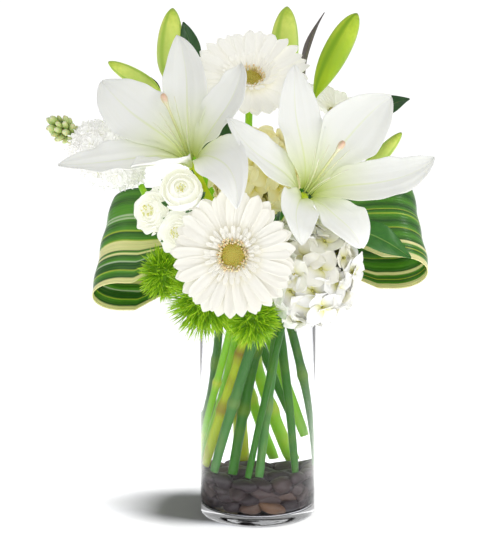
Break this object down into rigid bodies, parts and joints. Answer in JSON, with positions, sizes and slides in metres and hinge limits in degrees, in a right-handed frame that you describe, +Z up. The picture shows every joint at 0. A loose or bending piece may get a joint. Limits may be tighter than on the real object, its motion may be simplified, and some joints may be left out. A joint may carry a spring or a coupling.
{
  "type": "lilies in a vase",
  "caption": "Clear cylinder vase of river stones and green stems holding a round bouquet of white lilies, gerberas, hydrangeas and small roses between two folded striped leaves.",
  "frame": {"origin": "centre of the vase's flat base, on the surface it stands on", "axes": "+Z up along the vase's axis; -Y is the front of the bouquet; +X to the right seen from the front"},
  "size_m": [0.3285, 0.2317, 0.4461],
  "materials": {
    "clear_glass": "polished",
    "river_stone": "satin",
    "lily_petal": "matte",
    "lily_pistil": "satin",
    "lily_bud_green": "satin",
    "gerbera_ray": "matte",
    "gerbera_eye": "matte",
    "hydrangea_petal": "matte",
    "rose_petal": "matte",
    "stock_petal": "matte",
    "stock_bud": "satin",
    "trick_green": "matte",
    "stem_green": "satin",
    "striped_leaf": "gloss",
    "leaf_green": "satin"
  },
  "bodies": {
    "root": {"vase": "clear_glass", "river_stones": "river_stone", "lily_left_petal_1": "lily_petal", "lily_left_petal_2": "lily_petal", "lily_left_petal_3": "lily_petal", "lily_left_petal_4": "lily_petal", "lily_left_petal_5": "lily_petal", "lily_left_petal_6": "lily_petal", "lily_left_pistil": "lily_pistil", "lily_left_stem": "stem_green", "lily_right_petal_1": "lily_petal", "lily_right_petal_2": "lily_petal", "lily_right_petal_3": "lily_petal", "lily_right_petal_4": "lily_petal", "lily_right_petal_5": "lily_petal", "lily_right_petal_6": "lily_petal", "lily_right_pistil": "lily_pistil", "lily_right_stem": "stem_green", "lily_bud_1": "lily_bud_green", "lily_bud_2": "lily_bud_green", "lily_bud_3": "lily_bud_green", "lily_bud_4": "lily_bud_green", "lily_bud_5": "lily_bud_green", "bud_left_stem": "stem_green", "bud_right_stem": "stem_green", "gerbera_front_petals": "gerbera_ray", "gerbera_front_disc": "gerbera_eye", "gerbera_front_stem": "stem_green", "gerbera_top_petals": "gerbera_ray", "gerbera_top_disc": "gerbera_eye", "gerbera_top_stem": "stem_green", "gerbera_back_petals": "gerbera_ray", "gerbera_back_stem": "stem_green", "hydrangea_upper_head": "hydrangea_petal", "hydrangea_upper_stem": "stem_green", "hydrangea_lower_head": "hydrangea_petal", "hydrangea_lower_stem": "stem_green", "rose_1": "rose_petal", "rose_2": "rose_petal", "rose_3": "rose_petal", "rose_stem": "stem_green", "stock_florets": "stock_petal", "stock_buds": "stock_bud", "stock_stem": "stem_green", "green_trick_1": "trick_green", "green_trick_2": "trick_green", "green_trick_3": "trick_green", "green_trick_stem": "stem_green", "aspidistra_left": "striped_leaf", "aspidistra_left_stem": "stem_green", "aspidistra_right": "striped_leaf", "aspidistra_right_stem": "stem_green", "leaf_front_right": "leaf_green", "leaf_back_right": "leaf_green", "leaf_top_left": "leaf_green", "leaf_back_left": "leaf_green", "leaf_spear": "leaf_green", "leaf_rear_left": "leaf_green", "leaf_rear_right": "leaf_green", "foliage_stem": "stem_green"}
  },
  "joints": []
}
